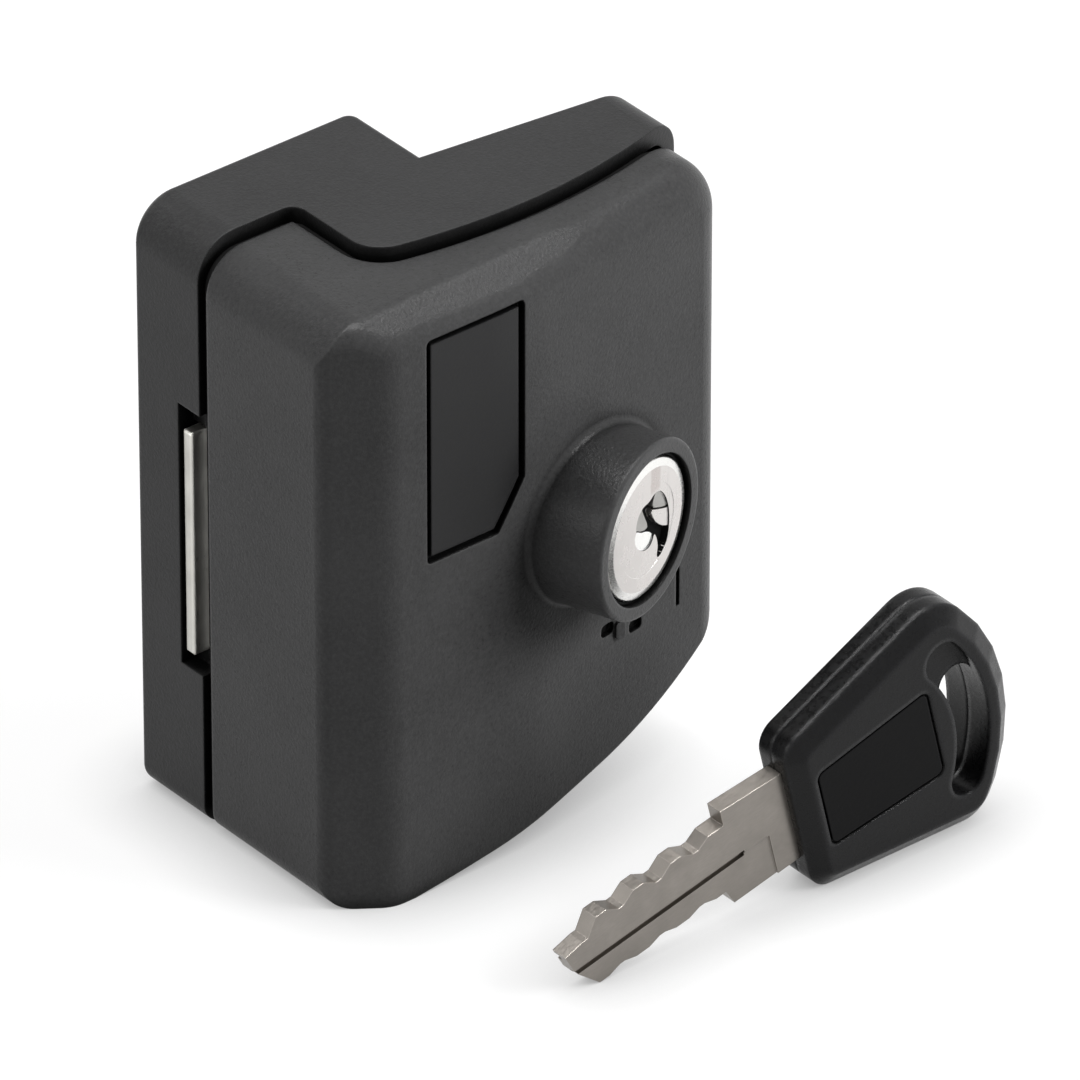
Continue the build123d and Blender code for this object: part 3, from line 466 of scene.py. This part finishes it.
def milled_face(name, colour):
    """Turned metal with scratches and a milled band, each edge of the band given as a soft step."""
    s = Surface(name, 0.3, metallic=1.0)
    across = s.along("X")
    left, right = s.ramp(across, 0.0, 1.0, *band_left), s.ramp(across, 1.0, 0.0, *band_right)
    band = s.multiply(s.multiply(left, right), s.ramp(s.along("Y"), 0.0, 0.75, *band_foot))
    clouds = s.noise(0.003, 3.0)
    tone = s.blend(s.ramp(clouds, 0.0, 1.0), share(colour, 0.93), colour)
    milled = s.blend(band, tone, (colour[0] * 0.74, colour[1] * 0.7, colour[2] * 0.69))
    scratches = s.noise(0.0009, 5.0, s.stretched(1.0, 0.08, 1.0), sharp=0.7)
    scored = s.blend(s.ramp(scratches, 0.0, 0.35, 0.6, 0.72), milled, share(colour, 0.6))
    relief = s.bump(scratches, 0.000006, s.rounded(0.00006))
    return s.finish(scored, s.ramp(clouds, 0.24, 0.34), relief)


disc_metal = milled_face("disc_metal", (0.73, 0.7, 0.68))
# Painted shade: a near-black finish for the keyway's walls and the floor behind the wards.
keyway_shade = dull_rubber("keyway_shade")
print("face finishes:", disc_metal.name, keyway_shade.name)

# %% [markdown]
# The rim's profile goes up the inner wall, across the flat and down the bevel, and turns once round the
# axis. The heights count from the front of the boss's rim, so all of them are below zero. The opening's
# outline is drawn with few corners, and cutting the corners makes it curved.

# %% Turn the rim and cut the plate with the opening
face_radius, bevel_start, sunk_radius = 8.9, 7.8, 5.95
front, back = -0.3, -1.5
rim_profile = [(sunk_radius, back), (sunk_radius, front - 0.02), (sunk_radius + 0.02, front)]
rim_profile += [(bevel_start, front), (8.72, front - 0.22), (face_radius, front - 0.4), (face_radius, back)]
# The bevel's faces take the near-white copy of the metal, a painted highlight; the rest takes the disc
# metal.
rim = paint(turned(rim_profile), disc_metal, bevel_highlight_metal, lambda face: 0.5 < face.normal.z < 0.995)

opening = [(1.63, 4.1), (2.8, 3.95), (3.8, 2.95), (4.5, 1.7), (5.0, 0.0), (5.0, -2.3), (4.55, -3.9)]
opening += [(3.6, -4.85), (2.6, -5.3), (2.1, -4.9), (2.45, -3.7), (2.2, -2.4), (1.6, -1.35), (1.2, -2.2)]
opening += [(0.4, -2.8), (-1.1, -2.5), (-2.5, -1.3), (-3.0, 0.1), (-2.45, 0.9), (-2.6, 1.6), (-2.1, 2.8)]
opening += [(-1.2, 3.4), (-0.7, 3.55), (0.5, 3.55)]
sunk = plate([ring_of(sunk_radius), smooth_loop(opening)], back, front - 0.05, edge=0.015)
# The opening's steep walls take the near-black finish: painted shade.
sunk = paint(sunk, disc_metal, keyway_shade, lambda face: abs(face.normal.z) < 0.5)
print("rim and plate:", len(rim.polygons), len(sunk.polygons), "polygons")

# %% [markdown]
# Four wards stand in the opening, each a plate with its own height, so that light picks them apart. Two
# of them take a darker copy of the face metal and one a near-white copy: painted shade and a painted
# highlight. The lowest plate is the dark floor behind them, near-black as painted shade. Each ward runs on
# into the metal round the opening, as on a real disc, where the wards are left standing when the opening is
# cut.

# %% Set the wards and join the face
ward_foot, floor_top = -1.45, -1.3
high_ward = [(1.9, 3.3), (2.3, 3.9), (3.1, 3.75), (3.9, 3.1), (5.0, 2.0), (5.3, 0.75), (4.2, 0.85)]
high_ward += [(2.8, 1.45), (1.5, 2.1)]
middle_ward = [(0.95, 2.1), (2.8, 1.25), (4.3, 0.6), (5.4, 0.3), (5.6, -1.2), (5.3, -2.25), (4.8, -2.1)]
middle_ward += [(3.3, -1.3), (1.7, 0.3)]
low_ward = [(-2.1, 0.75), (-3.4, 0.5), (-3.3, -0.9), (-2.6, -2.0), (-1.1, -2.9), (0.4, -3.2), (1.3, -2.5)]
low_ward += [(1.5, -1.4), (0.2, -0.4), (-1.1, 0.0)]
side_ward = [(-0.9, 3.2), (-1.9, 3.4), (-3.0, 2.2), (-3.1, 0.9), (-2.1, 0.85), (-1.0, 0.12), (0.1, -0.15)]
side_ward += [(0.55, 0.15), (-0.35, 2.0)]
wards = [
    paint(plate([smooth_loop(high_ward, 1)], ward_foot, -0.55), shaded_ward_metal),
    paint(plate([smooth_loop(middle_ward, 1)], ward_foot, -0.48), disc_metal),
    paint(plate([smooth_loop(low_ward)], ward_foot, -0.52), lit_ward_metal),
    paint(plate([smooth_loop(side_ward, 1)], ward_foot, -0.6), shaded_ward_metal),
    paint(plate([smooth_loop(opening)], back, floor_top), keyway_shade),
]
cylinder_face = bpy.data.objects.new("cylinder_face", one_mesh("cylinder_face", [rim, sunk] + wards))
cylinder_face.matrix_world = lock_place
bpy.context.scene.collection.objects.link(cylinder_face)
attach(cylinder_face, "plug_group")
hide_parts("plug_face")
print("face:", len(cylinder_face.data.polygons), "polygons,", len(wards) - 1, "wards")

# %% [markdown]
# ## Floor and light
#
# A product picture like this stands on a white sweep. A real sweep is bright because much light falls on
# it, and throws a good part of that back on the case. Here floor and world only have to look white, so
# both ask whether a ray comes from the camera or by way of a reflection. One small step answers that.

# %% What is looked at
def looked_at(tree):
    """A share that is 1 for what the camera, a reflection or a view through glass meets, and else 0."""
    rays = tree.nodes.new("ShaderNodeLightPath")
    seen = rays.outputs["Is Camera Ray"]
    for key in ("Is Glossy Ray", "Is Transmission Ray"):
        step = tree.nodes.new("ShaderNodeMath")
        step.operation = "MAXIMUM"
        tree.links.new(seen, step.inputs[0])
        tree.links.new(rays.outputs[key], step.inputs[1])
        seen = step.outputs["Value"]
    return seen


print("looked at: camera, glossy and transmission rays")

# %% [markdown]
# The floor is a large plane of grey paper, which keeps the light that it throws back on the case low, as
# the dark bevel needs. Its white comes from a glow that only the camera and reflections see. The lamps'
# shadows show on the paper, and the glow fades in the last few millimetres under the object, where an
# ambient occlusion node finds the floor covered: a painted contact shadow.

# %% The floor
floor_reach, just_below, contact_reach = 3.0, 0.00005, 0.012
paper_tone, painted_shadow_glow, glow_open = 0.24, 0.2, 0.85


def white_floor():
    """A plane just below the lock, whose white fades where the lock covers it, as a painted contact shadow.
    """
    material = bpy.data.materials.new("white_floor")
    material.use_nodes = True
    tree = material.node_tree
    tree.nodes.remove(tree.nodes["Principled BSDF"])
    paper = tree.nodes.new("ShaderNodeBsdfDiffuse")
    paper.inputs["Color"].default_value = (paper_tone, paper_tone, paper_tone, 1.0)
    glow = tree.nodes.new("ShaderNodeEmission")
    # Painted contact shadow: the glow fades where the occlusion node finds the floor covered.
    contact = tree.nodes.new("ShaderNodeAmbientOcclusion")
    contact.samples = 16
    contact.inputs["Distance"].default_value = contact_reach
    openness = tree.nodes.new("ShaderNodeMapRange")
    openness.inputs["To Min"].default_value = painted_shadow_glow
    openness.inputs["To Max"].default_value = glow_open
    tree.links.new(contact.outputs["AO"], openness.inputs["Value"])
    part = tree.nodes.new("ShaderNodeMath")
    part.operation = "MULTIPLY"
    tree.links.new(openness.outputs["Result"], part.inputs[1])
    tree.links.new(looked_at(tree), part.inputs[0])
    tree.links.new(part.outputs["Value"], glow.inputs["Strength"])
    both = tree.nodes.new("ShaderNodeAddShader")
    tree.links.new(paper.outputs["BSDF"], both.inputs[0])
    tree.links.new(glow.outputs["Emission"], both.inputs[1])
    tree.links.new(both.outputs["Shader"], tree.nodes["Material Output"].inputs["Surface"])
    mesh = bpy.data.meshes.new("floor")
    corners = [(x * floor_reach, y * floor_reach, 0) for x, y in ((-1, -1), (1, -1), (1, 1), (-1, 1))]
    mesh.from_pydata(corners, [], [(0, 1, 2, 3)])
    floor = bpy.data.objects.new("floor", mesh)
    floor.location.z = cad_low.z - just_below
    bpy.context.scene.collection.objects.link(floor)
    mesh.materials.append(material)
    print("floor at", round(floor.location.z, 6))


white_floor()

# %% [markdown]
# ## Sky and lamps
#
# The world is white where the camera or a reflection looks at it, and a dim even fill for everything
# else. Four soft boxes shape the case: a long one overhead, one behind the left that lights the left side,
# one for the rear and one to the front right for the front. None stands near the camera, so the bevel
# between left side and front stays dark. The front box lights without glare, because its mirror image
# would turn the top white when seen from behind. A narrow strip above does the opposite: it adds nothing
# but gloss, and makes the soft streak on the rounded crease under the top.

# %% The world
def studio_world(fill):
    """White to look at, and a weak even light on everything."""
    world = bpy.data.worlds.new("studio")
    bpy.context.scene.world = world
    world.use_nodes = True
    tree = world.node_tree
    background = tree.nodes["Background"]
    background.inputs["Color"].default_value = (1.0, 1.0, 1.0, 1.0)
    level = tree.nodes.new("ShaderNodeMapRange")
    level.inputs["To Min"].default_value = fill
    level.inputs["To Max"].default_value = 1.0
    tree.links.new(looked_at(tree), level.inputs["Value"])
    tree.links.new(level.outputs["Result"], background.inputs["Strength"])
    print("world fill:", fill)


studio_world(fill=0.13)

# %% [markdown]
# A soft box is an area lamp. Each one is placed by the direction that it shines from, at a fixed distance
# from the middle of the lock, and turned to face it, so that its power and size can be changed without
# moving anything. The wide ones give soft edges to the shadows. The numbers after a direction are the
# width and height in metres and the power in watts.

# %% The soft boxes
aim = Vector((0.025, -0.02, 0.035))
above, crease_runs = (0.05, 0.07, 1.0), (-0.9, 0.44, 0.0)


def soft_box(name, direction, width, height, power, width_runs, distance=1.1):
    """A glowing panel that faces the lock, with its width along a given direction."""
    lamp = bpy.data.lights.new(name, "AREA")
    lamp.shape = "RECTANGLE"
    lamp.size = width
    lamp.size_y = height
    lamp.energy = power
    box = bpy.data.objects.new(name, lamp)
    towards = Vector(direction).normalized()
    across = Vector(width_runs)
    across = (across - towards * across.dot(towards)).normalized()
    turned_box = Matrix((across, towards.cross(across), towards)).transposed().to_4x4()
    box.matrix_world = Matrix.Translation(aim + towards * distance) @ turned_box
    bpy.context.scene.collection.objects.link(box)
    return box


soft_box("overhead", above, 1.1, 0.18, 2.0, crease_runs)
soft_box("rear_left", (-0.89, 0.15, 0.43), 0.35, 0.35, 4.6, (0.17, 0.98, 0.0))
soft_box("rear", (-0.1, 0.96, 0.3), 0.6, 0.6, 4.5, (1.0, 0.0, 0.0))
front_box = soft_box("front_right", (0.63, -0.62, 0.45), 0.6, 0.6, 14.0, (0.7, 0.71, 0.0))
front_box.visible_glossy = False
strip = soft_box("highlight_strip", above, 1.1, 0.07, 22.0, crease_runs, distance=1.0)
strip.visible_diffuse = False

# %% [markdown]
# ## Camera
#
# The picture was taken from far away with a long lens: upright edges stay nearly parallel. The camera
# looks down at 32.8 degrees from 39.2 degrees to the left of straight ahead.

# %% The camera
def studio_camera(target, left, down, distance, lens):
    """A camera that looks at a target from some degrees to the left and above."""
    data = bpy.data.cameras.new("camera")
    data.sensor_width = 36.0
    data.lens = lens
    data.clip_end = 20.0
    camera = bpy.data.objects.new("camera", data)
    a, e = math.radians(left), math.radians(down)
    back = Vector((-math.sin(a) * math.cos(e), -math.cos(a) * math.cos(e), math.sin(e)))
    camera.location = Vector(target) + back * distance
    camera.rotation_mode = "QUATERNION"
    camera.rotation_quaternion = (-back).to_track_quat("-Z", "Y")
    bpy.context.scene.collection.objects.link(camera)
    bpy.context.scene.camera = camera
    print("camera at", tuple(round(value, 4) for value in camera.location))


studio_camera((0.037151, -0.014, 0.026084), left=39.2, down=32.8, distance=1.894775, lens=533.33)
bpy.context.scene.view_settings.view_transform = "Standard"
